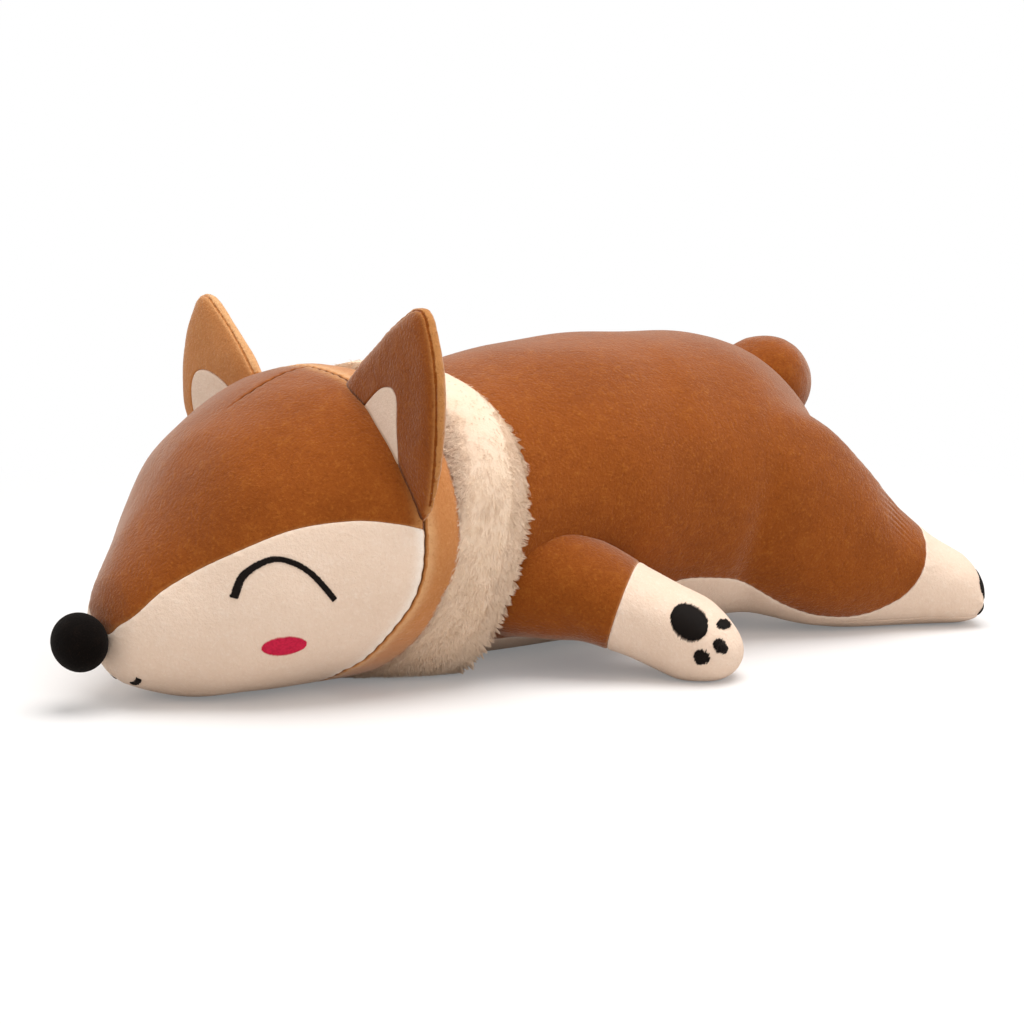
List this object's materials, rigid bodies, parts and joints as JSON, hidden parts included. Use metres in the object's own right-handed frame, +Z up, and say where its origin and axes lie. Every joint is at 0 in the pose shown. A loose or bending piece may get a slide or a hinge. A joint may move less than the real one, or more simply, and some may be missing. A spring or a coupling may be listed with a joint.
{
  "type": "plush fox pillow",
  "caption": "Stuffed fox lying on its belly with a fur collar, folded ears, spread arms and stretched hind legs.",
  "frame": {"origin": "on the floor under the middle of the fox", "axes": "+X from nose to tail, +Z up, the fox's left is -Y"},
  "size_m": [0.5274, 0.3004, 0.1925],
  "materials": {
    "brown_plush": "short pile velvet plush, cinnamon brown, soft sheen",
    "brown_light": "short pile velvet plush brushed the other way, lighter brown",
    "cream_plush": "short pile plush, warm cream",
    "fur": "long pile fur, cream",
    "black_plush": "short pile plush, black brown",
    "black_thread": "satin stitched embroidery, black brown",
    "red_thread": "satin stitched embroidery, rose red",
    "fibre": "loose polyester fibre fill"
  },
  "bodies": {
    "torso": {"face_panel": "brown_plush", "cheek_left": "cream_plush", "cheek_right": "cream_plush", "head_back_panel": "brown_light", "head_filling": "fibre", "nose": "black_plush", "eye_left": "black_thread", "blush_left": "red_thread", "mouth_left": "black_thread", "eye_right": "black_thread", "blush_right": "red_thread", "mouth_right": "black_thread", "back_panel": "brown_plush", "belly_panel": "cream_plush", "torso_filling": "fibre", "fur_collar": "fur", "leg_sleeve_left": "brown_plush", "foot_left": "cream_plush", "leg_underside_left": "cream_plush", "leg_filling_left": "fibre", "foot_left_pad": "black_thread", "foot_left_toe_1": "black_thread", "foot_left_toe_2": "black_thread", "foot_left_toe_3": "black_thread", "leg_sleeve_right": "brown_plush", "foot_right": "cream_plush", "leg_underside_right": "cream_plush", "leg_filling_right": "fibre", "foot_right_pad": "black_thread", "foot_right_toe_1": "black_thread", "foot_right_toe_2": "black_thread", "foot_right_toe_3": "black_thread"},
    "ear_left": {"ear_back_left": "brown_plush", "ear_front_left": "brown_plush", "ear_patch_left": "cream_plush"},
    "ear_right": {"ear_back_right": "brown_plush", "ear_front_right": "brown_plush", "ear_patch_right": "cream_plush"},
    "arm_left": {"arm_sleeve_left": "brown_plush", "paw_left": "cream_plush", "arm_filling_left": "fibre", "paw_left_pad": "black_thread", "paw_left_toe_1": "black_thread", "paw_left_toe_2": "black_thread", "paw_left_toe_3": "black_thread"},
    "arm_right": {"arm_sleeve_right": "brown_plush", "paw_right": "cream_plush", "arm_filling_right": "fibre", "paw_right_pad": "black_thread", "paw_right_toe_1": "black_thread", "paw_right_toe_2": "black_thread", "paw_right_toe_3": "black_thread"},
    "tail": {"tail_cover": "brown_light", "tail_filling": "fibre"}
  },
  "joints": [
    {"name": "ear_left_fold", "type": "hinge", "parent": "torso", "child": "ear_left", "pos_m": [-0.11108, -0.0359, 0.153], "axis": [0.0116, -0.7778, -0.6284], "range_deg": [-20, 20], "stiffness_Nm_per_rad": 0.04},
    {"name": "ear_right_fold", "type": "hinge", "parent": "torso", "child": "ear_right", "pos_m": [-0.11777, 0.02775, 0.153], "axis": [0.1504, -0.7632, 0.6284], "range_deg": [-20, 20], "stiffness_Nm_per_rad": 0.04},
    {"name": "arm_left_lift", "type": "hinge", "parent": "torso", "child": "arm_left", "pos_m": [-0.03164, -0.09, 0.0715], "axis": [-1, 0, 0], "range_deg": [0, 45], "stiffness_Nm_per_rad": 0.15},
    {"name": "arm_right_lift", "type": "hinge", "parent": "torso", "child": "arm_right", "pos_m": [-0.03164, 0.09, 0.0715], "axis": [1, 0, 0], "range_deg": [0, 45], "stiffness_Nm_per_rad": 0.15},
    {"name": "tail_swing", "type": "hinge", "parent": "torso", "child": "tail", "pos_m": [0.15636, 0, 0.131], "axis": [0, 0, 1], "range_deg": [-15, 15], "stiffness_Nm_per_rad": 0.08}
  ]
}
